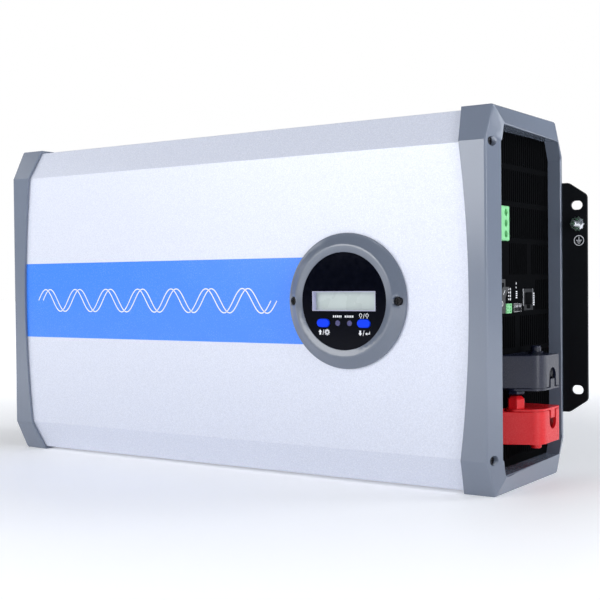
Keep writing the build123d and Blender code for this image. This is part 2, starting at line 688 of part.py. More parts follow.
with BuildPart() as ac_output_plug:
    with Locations(((AC_SPLIT_X + PLUG_GAP + AC_FACE_X) / 2, ac_y, ac_z)):
        Box(AC_FACE_X - AC_SPLIT_X - PLUG_GAP, ac_wide - 0.6, ac_tall - 0.6)
    with Locations((AC_SPLIT_X - 1.0, ac_y, ac_z)):
        Box(8, ac_wide - 3 * HEADER_WALL, ac_tall - 3 * HEADER_WALL)
    chamfer(ac_output_plug.faces().sort_by(Axis.X)[-1].edges(), 0.5)
    for z in ac_poles:
        with Locations(facing(AC_FACE_X, ac_y + 0.6, z, (1, 0, 0))):
            Cylinder(AC_HOLE_R, 12, mode=Mode.SUBTRACT)
        with Locations((AC_SPLIT_X - 4, ac_y, z)):
            Box(6, 2.0, 2.0, mode=Mode.SUBTRACT)
save(ac_output_plug.part, "ac_output_plug")

(sig_y, sig_z), (sig_wide, sig_tall) = SIGNAL_PORT
with BuildPart() as signal_header:
    add(port_block(SIGNAL_PORT, SIGNAL_SPLIT_X - SIGNAL_HEADER_DEPTH, SIGNAL_SPLIT_X))
    with Locations((SIGNAL_SPLIT_X, sig_y, sig_z)):
        Box(10, sig_wide - 1.6, sig_tall - 1.6, mode=Mode.SUBTRACT)
save(signal_header.part, "signal_header")

with BuildPart() as signal_plug:
    with Locations(((SIGNAL_SPLIT_X + PLUG_GAP + SIGNAL_FACE_X) / 2, sig_y, sig_z)):
        Box(SIGNAL_FACE_X - SIGNAL_SPLIT_X - PLUG_GAP, sig_wide - 0.6, sig_tall - 0.6)
    with Locations((SIGNAL_SPLIT_X - 1.0, sig_y, sig_z)):
        Box(5, sig_wide - 2.6, sig_tall - 2.6)
    with Locations(Plane(origin=(SIGNAL_FACE_X, sig_y, sig_z), x_dir=(0, 1, 0), z_dir=(1, 0, 0))):
        with GridLocations(4.0, 1.9, 2, 3):
            Box(1.6, 1.1, 6, mode=Mode.SUBTRACT)
save(signal_plug.part, "signal_plug")

(usb_y, usb_z), (usb_wide, usb_tall) = USB_PORT
usb_inside = (usb_wide - 2 * USB_SHELL_T, usb_tall - 2 * USB_SHELL_T)
with BuildPart() as usb_port:
    add(port_block(USB_PORT, JACK_BACK_X, USB_FACE_X))
    with Locations((USB_FACE_X, usb_y, usb_z)):
        Box(22, *usb_inside, mode=Mode.SUBTRACT)
    with Locations((JACK_BACK_X + 8.0, usb_y, usb_z + 0.9)):
        Box(USB_TONGUE[0], usb_wide - 2.4, USB_TONGUE[1])
    with Locations((JACK_BACK_X + 1.5, usb_y, usb_z)):
        Box(3, *usb_inside)
save(usb_port.part, "usb_port")

rj_y, rj_z = RJ45_PORT[0]
mouth_z = rj_z + 0.6
mouth_bottom = mouth_z - RJ45_MOUTH[1] / 2
with BuildPart() as rj45_port:
    add(port_block(RJ45_PORT, JACK_BACK_X, RJ45_FACE_X))
    with Locations((RJ45_FACE_X, rj_y, mouth_z)):
        Box(2 * RJ45_DEPTH, *RJ45_MOUTH, mode=Mode.SUBTRACT)
    with Locations((RJ45_FACE_X, rj_y, mouth_bottom - 0.8)):
        Box(2 * RJ45_DEPTH, *RJ45_LATCH, mode=Mode.SUBTRACT)
    for contact in range(8):
        with Locations((JACK_BACK_X + 7.0, rj_y + RJ45_PITCH * (contact - 3.5), rj_z + 4.2)):
            Box(8, 0.4, 0.8)
save(rj45_port.part, "rj45_port")

with BuildPart() as port_board:
    with Locations(PORT_BOARD[0]):
        Box(*PORT_BOARD[1], BOARD_T)
save(port_board.part, "port_board")

# ---------------------------------------------------------------- rocker switch
(sw_y, sw_z) = SWITCH_PORT[0]
cavity_wide = SWITCH_CUTOUT[0] - 2 * SWITCH_WALL
cavity_tall = SWITCH_CUTOUT[1] - 2 * SWITCH_WALL
with BuildPart() as power_switch_body:
    add(port_block(SWITCH_PORT, PANEL_X, PANEL_X + SWITCH_FLANGE))
    add(port_block((SWITCH_PORT[0], SWITCH_CUTOUT), SWITCH_BACK_X, PANEL_X))
    with Locations((PANEL_X + SWITCH_FLANGE, sw_y, sw_z)):
        Box(26, cavity_wide, cavity_tall, mode=Mode.SUBTRACT)
    with Locations(facing(ROCKER_AXIS_X, sw_y, sw_z, (0, 1, 0))):
        Cylinder(ROCKER_PIN_R + PIN_FIT, SWITCH_CUTOUT[0], mode=Mode.SUBTRACT)
save(power_switch_body.part, "power_switch_body")

with BuildPart() as power_switch_rocker:
    back_depth, back_half = ROCKER_BACK
    section = [
        (-back_depth, -back_half),
        (ROCKER_FRONT, -ROCKER_HALF),
        (ROCKER_FRONT - ROCKER_DISH, 0),
        (ROCKER_FRONT, ROCKER_HALF),
        (-back_depth, back_half),
    ]
    placed = [(ROCKER_AXIS_X + x, sw_z + z) for x, z in section]
    extrude(polygon(front_plane(sw_y), placed), amount=cavity_wide / 2 - ROCKER_GAP, both=True)
    with Locations(facing(ROCKER_AXIS_X, sw_y, sw_z, (0, 1, 0))):
        Cylinder(ROCKER_PIN_R, SWITCH_CUTOUT[0] - 0.4)
    tilted = power_switch_rocker.part.rotate(
        Axis((ROCKER_AXIS_X, sw_y, sw_z), (0, 1, 0)), ROCKER_REST
    )
save(tilted, "power_switch_rocker")

# ---------------------------------------------------------------- direct-current terminals
# Sizes below are those of the positive terminal; the negative one mirrors it about DC_MID_Z.
DC_TOP = DC_MID_Z - DC_LID_GAP / 2
DC_BOTTOM = DC_TOP - DC_TALL
DC_LID_Z = DC_TOP - DC_LID_T
DC_BODY_TOP = DC_LID_Z - LID_GAP
(near_x, near_y), (corner_x, corner_y) = DC_NEAR
near_slope = (corner_y - near_y) / (corner_x - near_x)
CORNER_Y = near_y + near_slope * (DC_END_X - near_x)
near_run = hypot(1, near_slope)
PIVOT_FOOT = (PIVOT[0] + PIVOT_R * near_slope / near_run, PIVOT[1] - PIVOT_R / near_run)
LID_BACK_X = PIVOT[0] - PIVOT_R

BUSBAR_Z = DC_BOTTOM + BUSBAR_RISE


def round_ends(plan):
    """Rounds the outer corners of a cover's plan: the near one widely, the far one a little."""
    outer = plan.vertices().group_by(Axis.X)[-1].sort_by(Axis.Y)
    fillet(outer[0], DC_CORNER_R)
    fillet(plan.vertices().sort_by(Axis.Y)[-2:].sort_by(Axis.X)[-1], DC_FAR_R)


def terminal_body():
    """Open-topped box with a slanted near side, a cable slot and a post for the lid's pin."""
    with BuildPart() as body:
        with BuildSketch(Plane.XY.offset(DC_BOTTOM)) as plan:
            with BuildLine():
                Polyline(
                    (near_x, near_y),
                    (DC_END_X, CORNER_Y),
                    (DC_END_X, DC_FAR_Y),
                    (near_x, DC_FAR_Y),
                    close=True,
                )
            make_face()
            round_ends(plan)
        extrude(amount=DC_BODY_TOP - DC_BOTTOM)
        with BuildSketch(Plane.XY.offset(DC_BOTTOM + DC_WALL)):
            add(plan.sketch_local)
            offset(amount=-DC_WALL, kind=Kind.INTERSECTION, mode=Mode.REPLACE)
        extrude(amount=DC_TALL, mode=Mode.SUBTRACT)
        with Locations((PIVOT[0], PIVOT[1], DC_BOTTOM)):
            Cylinder(POST_R, DC_BODY_TOP - DC_BOTTOM, align=(Align.CENTER, Align.CENTER, Align.MIN))
        with Locations((PIVOT[0], PIVOT[1], DC_BODY_TOP)):
            Cylinder(
                PIN_R + PIN_FIT,
                15,
                align=(Align.CENTER, Align.CENTER, Align.MAX),
                mode=Mode.SUBTRACT,
            )
        with BuildSketch(side_plane(DC_END_X - 4)):
            with Locations((CABLE_Y, DC_BOTTOM + CABLE_FLOOR + CABLE_SLOT / 2)):
                Circle(CABLE_SLOT / 2)
                with Locations((0, DC_TALL / 2)):
                    Rectangle(CABLE_SLOT, DC_TALL)
        extrude(amount=5, mode=Mode.SUBTRACT)
        with Locations((near_x, STUD[1], BUSBAR_Z + BUSBAR_T / 2)):
            Box(6, BUSBAR_WIDTH + 0.6, BUSBAR_T + 0.6, mode=Mode.SUBTRACT)
        with Locations((STUD[0], STUD[1], DC_BOTTOM)):
            for radius, height in BOSS:
                Cylinder(radius, height, align=(Align.CENTER, Align.CENTER, Align.MAX))
        fillet(body.faces().sort_by(Axis.Z)[0].edges(), 1.2)
    return body.part


def terminal_lid():
    """Flat lid that swivels about the pin, with a tab that closes the top of the cable slot."""
    with BuildPart() as lid:
        with BuildSketch(Plane.XY.offset(DC_LID_Z)) as plan:
            with BuildLine():
                Polyline(
                    PIVOT_FOOT,
                    (DC_END_X, CORNER_Y),
                    (DC_END_X, DC_FAR_Y),
                    (LID_BACK_X, DC_FAR_Y),
                    (LID_BACK_X, PIVOT[1]),
                    close=True,
                )
            make_face()
            round_ends(plan)
            with Locations(PIVOT):
                Circle(PIVOT_R)
        extrude(amount=DC_LID_T)
        with Locations((DC_END_X - DC_WALL, CABLE_Y, DC_LID_Z)):
            Box(DC_WALL, TAB_WIDTH, TAB_HEIGHT, align=(Align.MIN, Align.CENTER, Align.MAX))
        with Locations((PIVOT[0], PIVOT[1], DC_LID_Z)):
            Cylinder(PIN_R + PIN_FIT, 3 * DC_LID_T, mode=Mode.SUBTRACT)
    return lid.part


def lid_knob(height):
    """Hexagonal domed knob on the lid, in one piece with the pivot pin."""
    with BuildPart() as knob:
        with BuildSketch(Plane.XY.offset(DC_TOP)):
            with Locations(PIVOT):
                RegularPolygon(KNOB_R, 6, major_radius=False)
        extrude(amount=height)
        chamfer(knob.faces().sort_by(Axis.Z)[-1].edges(), 0.22 * height)
        with Locations((PIVOT[0], PIVOT[1], DC_TOP)):
            Cylinder(PIN_R, 14, align=(Align.CENTER, Align.CENTER, Align.MAX))
    return knob.part


def terminal_base():
    """Moulded flange against the end panel, with an insulated way through for the busbar."""
    with BuildPart() as base:
        middle_z = DC_BOTTOM + DC_TALL / 2
        with Locations((PANEL_X, (near_y + DC_FAR_Y) / 2, middle_z)):
            Box(
                near_x - PANEL_X,
                DC_FAR_Y - near_y,
                DC_TALL,
                align=(Align.MIN, Align.CENTER, Align.CENTER),
            )
        with Locations((PANEL_X, STUD[1], middle_z)):
            Box(12, *DC_PLUG, align=(Align.MAX, Align.CENTER, Align.CENTER))
        with Locations((PANEL_X, STUD[1], BUSBAR_Z + BUSBAR_T / 2)):
            Box(60, BUSBAR_WIDTH + 0.4, BUSBAR_T + 0.4, mode=Mode.SUBTRACT)
    return base.part


def busbar():
    """Flat copper bar: up from the board, then out through the base to the stud."""
    with BuildPart() as bar:
        with BuildSketch(Plane.XY.offset(BUSBAR_Z)):
            with BuildLine():
                Polyline(
                    (STUD[0], STUD[1] - BUSBAR_WIDTH / 2),
                    (STUD[0], STUD[1] + BUSBAR_WIDTH / 2),
                    (BUSBAR_LEG_X + BUSBAR_WIDTH, STUD[1] + BUSBAR_WIDTH / 2),
                    (BUSBAR_LEG_X + BUSBAR_WIDTH, BOARD_FRONT),
                    (BUSBAR_LEG_X, BOARD_FRONT),
                    (BUSBAR_LEG_X, STUD[1] - BUSBAR_WIDTH / 2),
                    close=True,
                )
            make_face()
            with Locations(STUD):
                Circle(BUSBAR_WIDTH / 2)
                Circle(STUD_R + 0.2, mode=Mode.SUBTRACT)
        extrude(amount=BUSBAR_T)
    return bar.part


def stud():
    """Bolt from below the busbar."""
    with BuildPart() as bolt:
        with BuildSketch(Plane.XY.offset(BUSBAR_Z)):
            with Locations(STUD):
                RegularPolygon(NUT_R, 6)
        extrude(amount=-STUD_HEAD_T)
        with Locations((*STUD, BUSBAR_Z)):
            Cylinder(STUD_R, STUD_LENGTH, align=(Align.CENTER, Align.CENTER, Align.MIN))
    return bolt.part


def stud_nut():
    """Washer and hexagonal nut on the busbar."""
    with BuildPart() as nut:
        with BuildSketch(Plane.XY.offset(BUSBAR_Z + BUSBAR_T)):
            with Locations(STUD):
                Circle(WASHER_R)
        extrude(amount=WASHER_T)
        with BuildSketch(Plane.XY.offset(BUSBAR_Z + BUSBAR_T + WASHER_T)):
            with Locations(STUD):
                RegularPolygon(NUT_R, 6)
        extrude(amount=NUT_T)
        with Locations((*STUD, BUSBAR_Z)):
            Cylinder(STUD_R + PIN_FIT, 40, mode=Mode.SUBTRACT)
    return nut.part


mirror_plane = Plane.XY.offset(DC_MID_Z)
for name, positive, negative in (
    ("terminal_body", terminal_body(), terminal_body()),
    ("terminal_lid", terminal_lid(), terminal_lid()),
    ("lid_knob", lid_knob(KNOB_TALL), lid_knob(KNOB_SHORT)),
    ("terminal_base", terminal_base(), terminal_base()),
    ("dc_busbar", busbar(), busbar()),
):
    with BuildPart() as flipped:
        mirror(negative, about=mirror_plane)
    save(positive, f"{name}_positive")
    save(flipped.part, f"{name}_negative")

for name, single in (("dc_studs", stud()), ("dc_nuts", stud_nut())):
    with BuildPart() as pair:
        add(single)
        mirror(single, about=mirror_plane)
    save(pair.part, name)

# ---------------------------------------------------------------- earth terminal
with BuildPart() as earth_stud:
    with Locations(facing(EARTH_X, -SHEET, EARTH_Z, (0, -1, 0))):
        Cylinder(EARTH_R, EARTH_STUD_LENGTH, align=(Align.CENTER, Align.CENTER, Align.MIN))
        Cylinder(EARTH_R, SHEET, align=(Align.CENTER, Align.CENTER, Align.MAX))
    fillet(earth_stud.faces().sort_by(Axis.Y)[0].edges(), 0.4)
save(earth_stud.part, "earth_stud")

with BuildPart() as earth_nut:
    with BuildSketch(front_plane(-SHEET)):
        with Locations((EARTH_X, EARTH_Z)):
            Circle(EARTH_WASHER[0])
            with PolarLocations(EARTH_WASHER[0], 10):
                Rectangle(1.2, 1.0)
    extrude(amount=EARTH_WASHER[1])
    with BuildSketch(front_plane(-SHEET - EARTH_WASHER[1])):
        with Locations((EARTH_X, EARTH_Z)):
            RegularPolygon(EARTH_NUT[0], 6)
    extrude(amount=EARTH_NUT[1])
    with BuildSketch(front_plane(-SHEET)):
        with Locations((EARTH_X, EARTH_Z)):
            Circle(EARTH_R + PIN_FIT)
    extrude(amount=10, mode=Mode.SUBTRACT)
save(earth_nut.part, "earth_nut")

# ---------------------------------------------------------------- power board
with BuildPart() as main_board:
    with BuildSketch(front_plane(BOARD_Y)):
        with Locations(((BOARD_X[0] + BOARD_X[1]) / 2, 0)):
            Rectangle(BOARD_X[1] - BOARD_X[0], 2 * BOARD_HALF_Z)
        with Locations(*STANDOFFS):
            Circle(STANDOFF_SCREW_R + 0.1, mode=Mode.SUBTRACT)
    extrude(amount=BOARD_T)
save(main_board.part, "main_board")

with BuildPart() as standoffs:
    with BuildSketch(front_plane(-SHEET)):
        with Locations(*STANDOFFS):
            RegularPolygon(STANDOFF_R, 6)
            Circle(STANDOFF_SCREW_R + PIN_FIT, mode=Mode.SUBTRACT)
    extrude(amount=-SHEET - BOARD_Y)
save(standoffs.part, "standoffs")

with BuildPart() as board_screws:
    for x, z in STANDOFFS:
        with Locations(facing(x, BOARD_FRONT, z, (0, -1, 0))):
            add(cross_screw(*BOARD_SCREW_HEAD, STANDOFF_SCREW_R, BOARD_SCREW_LENGTH))
save(board_screws.part, "board_screws")

with BuildPart() as chassis_screws:
    for x, z in STANDOFFS:
        with Locations(facing(x, 0, z, (0, 1, 0))):
            add(countersunk_screw(*STANDOFF_HEAD, STANDOFF_SCREW_R, CHASSIS_SCREW_LENGTH))
save(chassis_screws.part, "chassis_screws")

with BuildPart() as heat_sinks:
    for z in (-HEAT_SINK_Z, HEAT_SINK_Z):
        with BuildSketch(side_plane(HEAT_SINK_X[0])):
            with Locations((BOARD_FRONT - HEAT_SINK_RISE, z)):
                Rectangle(*HEAT_SINK_PLATE)
            outward = FIN[1] / 2 if z > 0 else -FIN[1] / 2
            with Locations((BOARD_FRONT - HEAT_SINK_RISE, z + outward)):
                with GridLocations(FIN_PITCH, 0, FINS, 1):
                    Rectangle(*FIN)
        extrude(amount=HEAT_SINK_X[1] - HEAT_SINK_X[0])
save(heat_sinks.part, "heat_sinks")

with BuildPart() as transistors:
    for z in (-HEAT_SINK_Z, HEAT_SINK_Z):
        offset_z = (HEAT_SINK_PLATE[1] + TRANSISTOR[2]) / 2 + 0.1
        middle_z = z - offset_z if z > 0 else z + offset_z
        for index in range(TRANSISTORS):
            x = HEAT_SINK_X[0] + 12 + TRANSISTOR_PITCH * index
            with Locations((x, BOARD_FRONT - TRANSISTOR_RISE, middle_z)):
                Box(*TRANSISTOR)
            with Locations((x, BOARD_FRONT - LEAD[1] / 2, middle_z)):
                with GridLocations(LEAD_PITCH, 0, 3, 1):
                    Box(*LEAD)
save(transistors.part, "transistors")

with BuildPart() as transformer_cores:
    for x in TRANSFORMER_X:
        with Locations((x, BOARD_FRONT - TRANSFORMER_RISE, 0)):
            Box(*CORE)
            Box(*CORE_WINDOW, mode=Mode.SUBTRACT)
            Box(*CORE_LEG)
save(transformer_cores.part, "transformer_cores")

with BuildPart() as transformer_windings:
    for x in TRANSFORMER_X:
        with Locations((x, BOARD_FRONT - TRANSFORMER_RISE, 0)):
            Box(*WINDING)
            Box(CORE_LEG[0] + 0.4, WINDING[1] + 2, WINDING[2] + 2, mode=Mode.SUBTRACT)
save(transformer_windings.part, "transformer_windings")


def capacitors(points, radius, height):
    """Upright cans standing on the board, each with a rolled top edge."""
    with BuildPart() as cans:
        with BuildSketch(front_plane(BOARD_FRONT)):
            with Locations(*points):
                Circle(radius)
        extrude(amount=height)
        fillet(cans.faces().filter_by(Plane.XZ).group_by(Axis.Y)[0].edges(), 1.0)
    return cans.part


save(capacitors(INPUT_CANS, *INPUT_CAN), "input_capacitors")
save(capacitors(BUS_CANS, *BUS_CAN), "bus_capacitors")

with BuildPart() as output_choke:
    with Locations(facing(CHOKE_X, BOARD_FRONT - CHOKE[1] - 1.0, 0, (0, 1, 0))):
        Torus(*CHOKE)
save(output_choke.part, "output_choke")
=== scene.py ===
import json
from math import atan2, cos, pi, radians, sin, sqrt

import bmesh
import bpy
from mathutils import Matrix, Vector


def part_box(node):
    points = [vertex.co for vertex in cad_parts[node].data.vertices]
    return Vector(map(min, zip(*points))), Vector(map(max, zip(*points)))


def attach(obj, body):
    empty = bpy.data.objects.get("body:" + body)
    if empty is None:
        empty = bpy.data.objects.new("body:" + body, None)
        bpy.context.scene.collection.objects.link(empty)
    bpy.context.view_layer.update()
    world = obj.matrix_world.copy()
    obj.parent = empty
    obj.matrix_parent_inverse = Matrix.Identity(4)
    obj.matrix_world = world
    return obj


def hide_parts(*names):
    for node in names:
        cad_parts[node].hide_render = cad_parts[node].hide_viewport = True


# Wall-mounted power inverter. Lengths below are in millimetres unless a name says otherwise.
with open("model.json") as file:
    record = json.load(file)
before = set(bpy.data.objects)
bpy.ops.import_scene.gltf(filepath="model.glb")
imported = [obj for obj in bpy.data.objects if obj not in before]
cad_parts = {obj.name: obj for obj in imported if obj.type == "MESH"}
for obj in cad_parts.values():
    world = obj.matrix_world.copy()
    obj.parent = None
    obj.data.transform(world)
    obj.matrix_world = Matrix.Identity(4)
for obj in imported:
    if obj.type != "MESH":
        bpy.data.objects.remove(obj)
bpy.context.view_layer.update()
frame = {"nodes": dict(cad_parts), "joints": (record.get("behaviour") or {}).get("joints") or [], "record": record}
MM = 0.001
CASING = "casing"


def span(node):
    """Lowest and highest corner of a CAD node, in millimetres."""
    low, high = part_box(node)
    return low / MM, high / MM


# ---------------------------------------------------------------- places worked out from the frame
cap_low, cap_high = span("end_cap_right")
bezel_low, bezel_high = span("display_bezel")
jack_low, jack_high = span("rj45_port")

COVER_FACE = span("front_cover")[0].y
LENS_FACE = span("display_lens")[0].y
LCD_FACE = span("lcd_module")[0].y
PANEL_FACE = span("end_panel_right")[1].x
TAB_FACE = -2.0  # front of the wall tabs, whose back lies on the wall
DISPLAY_X = (bezel_low.x + bezel_high.x) / 2
BEZEL_R = (bezel_high.x - bezel_low.x) / 2
FLOOR_Z = cap_low.z
INK = 0.06  # thickness of the stripe's film
THIN_INK = 0.05  # of the wave lines and the port marks
LENS_INK = 0.04  # of the marks on the lens


# ---------------------------------------------------------------- materials
def shader_tree(name):
    material = bpy.data.materials.new(name)
    material.use_nodes = True
    nodes = material.node_tree.nodes
    return material, nodes, material.node_tree.links, nodes["Principled BSDF"]


def noise(nodes, links, size, detail=3.0, stretch=None):
    """Noise in the object's own coordinates, whose features are about size millimetres across."""
    place = nodes.new("ShaderNodeTexCoord")
    texture = nodes.new("ShaderNodeTexNoise")
    texture.inputs["Scale"].default_value = 1.0 / (size * MM)
    texture.inputs["Detail"].default_value = detail
    source = place.outputs["Object"]
    if stretch:
        mapping = nodes.new("ShaderNodeMapping")
        mapping.inputs["Scale"].default_value = stretch
        links.new(source, mapping.inputs["Vector"])
        source = mapping.outputs["Vector"]
    links.new(source, texture.inputs["Vector"])
    return texture.outputs["Fac"]


def remap(nodes, links, value, low, high, start=0.3, end=0.7):
    node = nodes.new("ShaderNodeMapRange")
    node.inputs["From Min"].default_value = start
    node.inputs["From Max"].default_value = end
    node.inputs["To Min"].default_value = low
    node.inputs["To Max"].default_value = high
    links.new(value, node.inputs["Value"])
    return node.outputs["Result"]


def two_tone(nodes, links, value, dark, light, start=0.3, end=0.7):
    ramp = nodes.new("ShaderNodeValToRGB")
    ramp.color_ramp.elements[0].position = start
    ramp.color_ramp.elements[0].color = (*dark, 1.0)
    ramp.color_ramp.elements[1].position = end
    ramp.color_ramp.elements[1].color = (*light, 1.0)
    links.new(value, ramp.inputs["Fac"])
    return ramp.outputs["Color"]


def shade(colour, factor):
    return tuple(min(1.0, channel * factor) for channel in colour)


DRIFT_SHARE = 0.35  # how much of a surface's variation is the slow drift
GRAIN_SHARE = 0.65  # and how much is the fine grain


def surface(name, colour, roughness, grain=0.5, contrast=0.06, rough_range=0.08, bump=0.02,
            metallic=0.0, coat=0.0, coat_roughness=0.2, specular=0.5, wear=30.0, stretch=None):
    """Colour and roughness vary with a fine grain and a slow drift, wear millimetres across.

    Only the grain gives relief."""
    material, nodes, links, shader = shader_tree(name)
    fine = noise(nodes, links, grain, stretch=stretch)
    broad = noise(nodes, links, wear, detail=2.0)
    blend = nodes.new("ShaderNodeMath")
    blend.operation = "MULTIPLY_ADD"
    links.new(broad, blend.inputs[0])
    blend.inputs[1].default_value = DRIFT_SHARE
    links.new(remap(nodes, links, fine, 0.0, GRAIN_SHARE), blend.inputs[2])
    mixed = blend.outputs["Value"]
    tones = shade(colour, 1 - contrast), shade(colour, 1 + contrast)
    links.new(two_tone(nodes, links, mixed, *tones, 0.15, 0.85), shader.inputs["Base Color"])
    rough = remap(nodes, links, mixed, roughness - rough_range, roughness + rough_range)
    links.new(rough, shader.inputs["Roughness"])
    relief = nodes.new("ShaderNodeBump")
    relief.inputs["Distance"].default_value = bump * MM
    relief.inputs["Strength"].default_value = 0.6
    links.new(fine, relief.inputs["Height"])
    links.new(relief.outputs["Normal"], shader.inputs["Normal"])
    shader.inputs["Metallic"].default_value = metallic
    shader.inputs["Specular IOR Level"].default_value = specular
    shader.inputs["Coat Weight"].default_value = coat
    shader.inputs["Coat Roughness"].default_value = coat_roughness
    return material


def sparkle_paint(name, colour):
    """Silver-white powder paint: pale mottling, fine orange peel and bright flakes."""
    material, nodes, links, shader = shader_tree(name)
    mottle = noise(nodes, links, 0.9, detail=3.0)
    flakes = noise(nodes, links, 0.42, detail=1.0)
    body = two_tone(nodes, links, mottle, shade(colour, 0.93), shade(colour, 1.03), 0.32, 0.66)
    bright = nodes.new("ShaderNodeMix")
    bright.data_type = "RGBA"
    links.new(remap(nodes, links, flakes, 0.0, 1.0, 0.60, 0.74), bright.inputs["Factor"])
    links.new(body, bright.inputs["A"])
    bright.inputs["B"].default_value = (0.93, 0.94, 0.97, 1.0)
    links.new(bright.outputs["Result"], shader.inputs["Base Color"])
    links.new(remap(nodes, links, flakes, 0.52, 0.30, 0.45, 0.72), shader.inputs["Roughness"])
    links.new(remap(nodes, links, flakes, 0.10, 0.55, 0.50, 0.72), shader.inputs["Metallic"])
    relief = nodes.new("ShaderNodeBump")
    relief.inputs["Distance"].default_value = 0.05 * MM
    relief.inputs["Strength"].default_value = 0.55
    links.new(mottle, relief.inputs["Height"])
    links.new(relief.outputs["Normal"], shader.inputs["Normal"])
    return material


def display_glass(name):
    """Grey-green liquid-crystal glass with faint stains."""
    material, nodes, links, shader = shader_tree(name)
    stains = noise(nodes, links, 16.0, detail=3.0)
    colour = two_tone(nodes, links, stains, (0.485, 0.555, 0.525), (0.525, 0.60, 0.57), 0.3, 0.7)
    links.new(colour, shader.inputs["Base Color"])
    links.new(remap(nodes, links, stains, 0.22, 0.34), shader.inputs["Roughness"])
    shader.inputs["Coat Weight"].default_value = 0.6
    shader.inputs["Coat Roughness"].default_value = 0.08
    return material


GREY = (0.175, 0.205, 0.265)
materials = {
    "cover_paint": sparkle_paint("cover_paint", (0.69, 0.72, 0.82)),
    "cap_grey": surface("cap_grey", GREY, 0.19, grain=0.35, contrast=0.04, bump=0.003, wear=45,
                        rough_range=0.03, specular=0.8),
    "bezel_grey": surface("bezel_grey", shade(GREY, 0.78), 0.15, grain=0.35, contrast=0.04,
                          rough_range=0.03, bump=0.002, specular=0.9),
    "chassis_black": surface("chassis_black", (0.009, 0.010, 0.012), 0.42, grain=0.5,
                             contrast=0.25, bump=0.03, specular=0.1),
    "panel_black": surface("panel_black", (0.005, 0.0053, 0.006), 0.34, grain=0.5, contrast=0.25,
                           bump=0.02, specular=0.0),
    "screw_black": surface("screw_black", (0.006, 0.006, 0.008), 0.24, grain=0.4, metallic=0.2,
                           contrast=0.3, bump=0.01, specular=0.3),
    "screw_steel": surface("screw_steel", (0.82, 0.83, 0.86), 0.22, grain=0.3, metallic=1.0,
                           contrast=0.12, bump=0.01),
    "lens_black": surface("lens_black", (0.0008, 0.0014, 0.005), 0.10, grain=3.0, contrast=0.2,
                          rough_range=0.02, bump=0.0, specular=0.06),
    "lcd_glass": display_glass("lcd_glass"),
    "button_blue": surface("button_blue", (0.002, 0.05, 0.96), 0.42, grain=0.3, contrast=0.08,
                           bump=0.008, specular=0.1),
    "led_tint": surface("led_tint", (0.035, 0.033, 0.16), 0.16, grain=0.8, contrast=0.3, bump=0.01,
                        coat=0.5),
    "connector_green": surface("connector_green", (0.27, 0.72, 0.33), 0.40, grain=0.3,
                               contrast=0.08, bump=0.012),
    "shell_metal": surface("shell_metal", (0.80, 0.80, 0.82), 0.22, grain=0.6, metallic=1.0,
                           contrast=0.1, bump=0.006),
    "plastic_black": surface("plastic_black", (0.018, 0.019, 0.022), 0.40, grain=0.4,
                             contrast=0.2, bump=0.012),
    "fan_black": surface("fan_black", (0.015, 0.015, 0.017), 0.45, grain=0.5, contrast=0.2,
                         bump=0.012),
    "terminal_red": surface("terminal_red", (0.74, 0.010, 0.016), 0.26, grain=0.4, contrast=0.05,
                            bump=0.006, specular=0.4),
    "terminal_black": surface("terminal_black", (0.010, 0.013, 0.032), 0.24, grain=0.4,
                              contrast=0.12, bump=0.008, specular=0.45),
    "copper": surface("copper", (0.80, 0.36, 0.20), 0.30, grain=0.4, metallic=1.0, contrast=0.15,
                      bump=0.01, stretch=(0.15, 1.0, 1.0)),
    "board_green": surface("board_green", (0.012, 0.12, 0.045), 0.32, grain=1.2, contrast=0.25,
                           bump=0.02),
    "sink_aluminium": surface("sink_aluminium", (0.72, 0.73, 0.74), 0.34, grain=0.5, metallic=1.0,
                              contrast=0.1, bump=0.015, stretch=(0.08, 1.0, 1.0)),
    "package_black": surface("package_black", (0.02, 0.02, 0.02), 0.5, grain=0.4, contrast=0.2),
    "ferrite": surface("ferrite", (0.035, 0.035, 0.038), 0.55, grain=0.6, contrast=0.25, bump=0.03),
    "winding": surface("winding", (0.60, 0.22, 0.08), 0.32, grain=0.7, metallic=0.7, contrast=0.25,
                       bump=0.06, stretch=(0.1, 0.1, 1.0)),
    "can_sleeve": surface("can_sleeve", (0.012, 0.018, 0.06), 0.3, grain=0.7, contrast=0.15),
}
stripe_blue = surface("stripe_blue", (0.05, 0.25, 0.98), 0.24, grain=0.8, contrast=0.03,
                      rough_range=0.04, bump=0.002, specular=0.6)
print_white = surface("print_white", (0.86, 0.87, 0.90), 0.45, grain=0.3, contrast=0.05, bump=0.004)
guide_white = surface("guide_white", (0.50, 0.50, 0.68), 0.35, grain=0.6, contrast=0.08, bump=0.01)
floor_pale = surface("floor_pale", (0.93, 0.935, 0.95), 0.6, grain=2.0, contrast=0.015, bump=0.02,
                     specular=0.2)
# The floor glows, a painted light, and glows more further out, like a lit studio sweep, so that it fades into the
# wall; its weaker glow near the object is a painted shadow around it.
FLOOR_GLOW = (0.20, 0.80)  # emission near the object and far from it
GLOW_REACH = (0.25, 0.8)  # distances from the middle between which it grows, in metres
floor_nodes, floor_links = floor_pale.node_tree.nodes, floor_pale.node_tree.links
floor_place = floor_nodes.new("ShaderNodeTexCoord")
floor_reach = floor_nodes.new("ShaderNodeVectorMath")
floor_reach.operation = "LENGTH"
floor_links.new(floor_place.outputs["Object"], floor_reach.inputs[0])
floor_glow = remap(
    floor_nodes, floor_links, floor_reach.outputs["Value"], *FLOOR_GLOW, *GLOW_REACH
)
floor_shader = floor_nodes["Principled BSDF"]
floor_links.new(floor_glow, floor_shader.inputs["Emission Strength"])
floor_shader.inputs["Emission Color"].default_value = (1.0, 1.0, 1.0, 1.0)

slot_of = {part["node"]: part["material_slot"] for part in frame["record"]["subparts"]}
body_of_node = {
    node: body for body, nodes in frame["record"]["behaviour"]["bodies"].items() for node in nodes
}


def dress(piece, material):
    piece.data.materials.clear()
    piece.data.materials.append(material)


